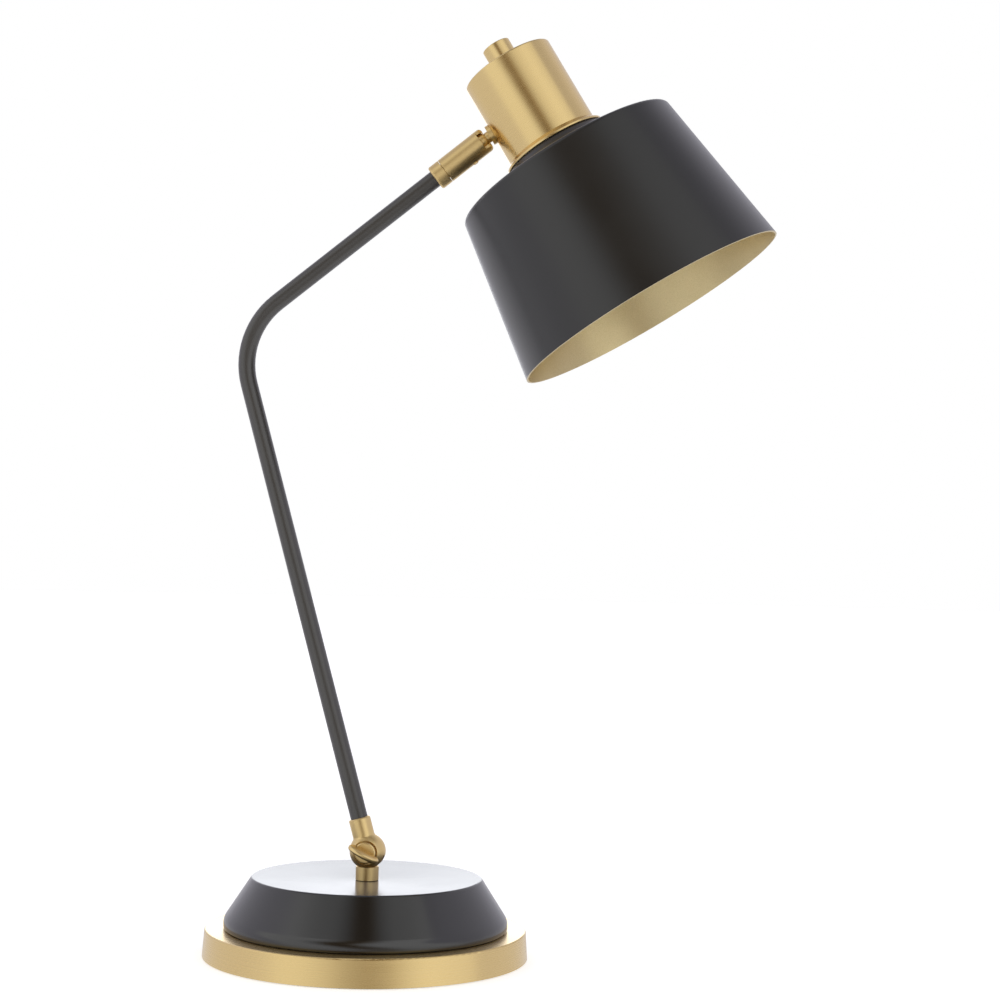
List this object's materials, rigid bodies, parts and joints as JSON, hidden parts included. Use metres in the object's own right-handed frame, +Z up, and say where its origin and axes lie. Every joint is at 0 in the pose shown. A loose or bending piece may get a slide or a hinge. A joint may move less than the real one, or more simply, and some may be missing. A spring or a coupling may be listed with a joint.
{
  "type": "task lamp",
  "caption": "Task lamp with a round weighted base, a bent arm on a ball knuckle with a wing screw, a metal shade on a ball swivel and a turn-knob switch.",
  "frame": {"origin": "centre of the foot pad's underside, where the lamp stands", "axes": "+Z up; the arm bends in the XZ plane with the shade towards +X; the wing screw's wing is towards -Y"},
  "size_m": [0.3098, 0.18, 0.5125],
  "materials": {
    "satin_brass": "satin brushed",
    "black_paint": "satin near-black paint; the shade is gold inside",
    "cast_iron": "as cast",
    "plain_steel": "plain steel",
    "felt": "black felt",
    "black_plastic": "matt moulded",
    "contact_brass": "bright brass",
    "bulb_cap_metal": "bright",
    "frosted_glass": "frosted white"
  },
  "bodies": {
    "base": {"foot_pad": "felt", "base_plate": "satin_brass", "base_weight": "cast_iron", "base_cover": "black_paint", "stem_rod": "plain_steel", "rod_washer": "plain_steel", "rod_nut": "plain_steel", "cord_bush": "black_plastic", "post": "satin_brass"},
    "arm": {"arm_knuckle": "satin_brass", "knuckle_nut": "plain_steel", "knuckle_washers": "plain_steel", "arm_tube": "black_paint", "arm_ferrule": "satin_brass"},
    "wing": {"wing_screw": "satin_brass"},
    "swivel": {"swivel_clevis": "satin_brass", "swivel_screw": "satin_brass"},
    "ball": {"swivel_ball": "satin_brass"},
    "head": {"head_tongue": "satin_brass", "tongue_washer": "plain_steel", "tongue_nut": "plain_steel", "socket_cup": "satin_brass", "cup_flange": "satin_brass", "shade": "black_paint", "shade_ring_nut": "black_plastic", "lampholder_cap": "black_plastic", "lampholder_body": "black_plastic", "lampholder_shell": "contact_brass", "lampholder_contact": "contact_brass", "switch_body": "black_plastic", "switch_nut": "plain_steel", "bulb_cap": "bulb_cap_metal", "bulb_globe": "frosted_glass"},
    "knob": {"switch_shaft": "plain_steel", "switch_knob": "satin_brass"}
  },
  "joints": [
    {"name": "arm_tilt", "type": "hinge", "parent": "base", "child": "arm", "pos_m": [0, 0, 0.05795], "axis": [0, 1, 0], "range_deg": [-35, 50]},
    {"name": "wing_screw_turn", "type": "hinge", "parent": "arm", "child": "wing", "pos_m": [0, 0, 0.05795], "axis": [0, -1, 0], "range_deg": [0, 360]},
    {"name": "head_swivel", "type": "hinge", "parent": "arm", "child": "swivel", "pos_m": [0.03477, 0, 0.43808], "axis": [0.7841, 0, 0.6206], "range_deg": [-170, 170]},
    {"name": "head_tilt", "type": "hinge", "parent": "swivel", "child": "ball", "pos_m": [0.05524, 0, 0.45428], "axis": [0.6206, 0, -0.7841], "range_deg": [-45, 45]},
    {"name": "head_roll", "type": "hinge", "parent": "ball", "child": "head", "pos_m": [0.05524, 0, 0.45428], "axis": [0.7841, 0, 0.6206], "range_deg": [-170, 170]},
    {"name": "knob_turn", "type": "hinge", "parent": "head", "child": "knob", "pos_m": [0.0685, 0, 0.49732], "axis": [0.5225, 0, -0.8526], "continuous": true}
  ]
}
